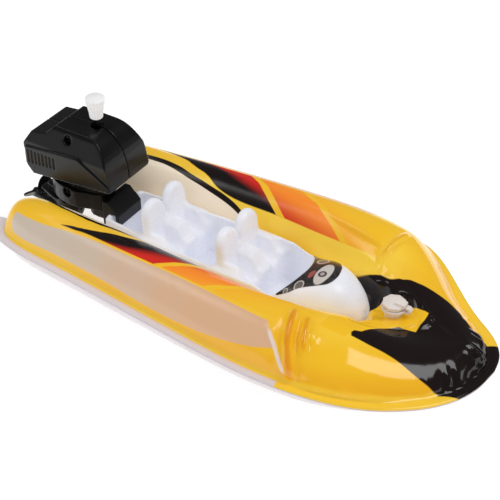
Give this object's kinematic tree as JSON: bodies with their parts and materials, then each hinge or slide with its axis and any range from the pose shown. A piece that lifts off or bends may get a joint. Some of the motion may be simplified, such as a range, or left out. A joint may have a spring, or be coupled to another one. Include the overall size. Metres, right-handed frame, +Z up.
{
  "type": "inflatable toy speedboat",
  "caption": "Inflatable toy speedboat: welded film hull, moulded cockpit tub with seats, air valve and a clip-on clockwork outboard with winding key and propeller.",
  "frame": {"origin": "middle of the hull's flat underside, on the plane the boat rests on", "axes": "+X to the bow, +Y to port, +Z up"},
  "size_m": [0.219, 0.1088, 0.0717],
  "materials": {
    "printed_film": "glossy printed PVC film",
    "clear_film": "glossy, slightly milky clear PVC film",
    "tub_plastic": "semi-gloss white injection-moulded plastic",
    "sticker": "printed paper sticker with a gloss coat",
    "soft_vinyl": "satin translucent soft vinyl",
    "motor_plastic": "satin black moulded plastic",
    "key_plastic": "satin white moulded plastic",
    "nylon": "satin natural nylon",
    "steel": "bright drawn steel",
    "spring_steel": "blued spring steel",
    "brass": "turned brass"
  },
  "bodies": {
    "hull": {"hull_upper_skin": "printed_film", "hull_lower_skin": "clear_film", "cockpit_tub": "tub_plastic", "dash_decal": "sticker"},
    "valve": {"valve_stem": "soft_vinyl", "valve_flap": "clear_film"},
    "valve_cap": {"valve_plug": "soft_vinyl", "valve_tether": "soft_vinyl"},
    "motor_bracket": {"transom_clamp": "motor_plastic", "steering_pin": "steel"},
    "outboard": {"leg_port": "motor_plastic", "leg_starboard": "motor_plastic", "leg_screw_upper": "steel", "leg_screw_lower": "steel", "cowl_port": "motor_plastic", "cowl_starboard": "motor_plastic", "cowl_screw": "steel", "motor_plate_lower": "nylon", "motor_plate_upper": "nylon", "motor_pillar_port": "steel", "motor_pillar_starboard": "steel", "motor_pillar_aft": "steel", "mainspring": "spring_steel", "second_arbor": "steel", "third_arbor": "steel", "stern_bush": "brass"},
    "key": {"winding_key": "key_plastic", "winding_arbor": "steel", "great_wheel": "nylon"},
    "second_gear": {"second_wheel": "nylon"},
    "third_gear": {"third_wheel": "nylon"},
    "drive_line": {"drive_pinion": "nylon", "drive_shaft": "steel", "bevel_pinion": "brass"},
    "propeller": {"crown_gear": "brass", "propeller_shaft": "steel", "propeller": "motor_plastic"}
  },
  "joints": [
    {"name": "valve_push", "type": "slide", "parent": "hull", "child": "valve", "axis": [0, 0, -1], "range_m": [0, 0.0014]},
    {"name": "valve_pull", "type": "slide", "parent": "valve", "child": "valve_cap", "axis": [0, 0, 1], "range_m": [0, 0.008]},
    {"name": "motor_lift", "type": "slide", "parent": "hull", "child": "motor_bracket", "axis": [0, 0, 1], "range_m": [0, 0.012]},
    {"name": "steering", "type": "hinge", "parent": "motor_bracket", "child": "outboard", "pos_m": [-0.074, 0, 0.02], "axis": [0, 0, 1], "range_deg": [-15, 15]},
    {"name": "key_spin", "type": "hinge", "parent": "outboard", "child": "key", "pos_m": [-0.0725, 0, 0.045], "axis": [0, 0, 1], "continuous": true},
    {"name": "second_spin", "type": "hinge", "parent": "outboard", "child": "second_gear", "pos_m": [-0.0836, 0.003, 0.043], "axis": [0, 0, 1], "continuous": true},
    {"name": "third_spin", "type": "hinge", "parent": "outboard", "child": "third_gear", "pos_m": [-0.08889, -0.00549, 0.045], "axis": [0, 0, 1], "continuous": true},
    {"name": "drive_spin", "type": "hinge", "parent": "outboard", "child": "drive_line", "pos_m": [-0.094, 0, 0.03], "axis": [0, 0, 1], "continuous": true},
    {"name": "propeller_spin", "type": "hinge", "parent": "outboard", "child": "propeller", "pos_m": [-0.1, 0, 0.011], "axis": [1, 0, 0], "continuous": true}
  ],
  "couplings": [
    {"joint": "drive_spin", "follows": "propeller_spin", "ratio": 1},
    {"joint": "third_spin", "follows": "propeller_spin", "ratio": -0.5},
    {"joint": "second_spin", "follows": "propeller_spin", "ratio": 0.16667},
    {"joint": "key_spin", "follows": "propeller_spin", "ratio": -0.046296}
  ]
}
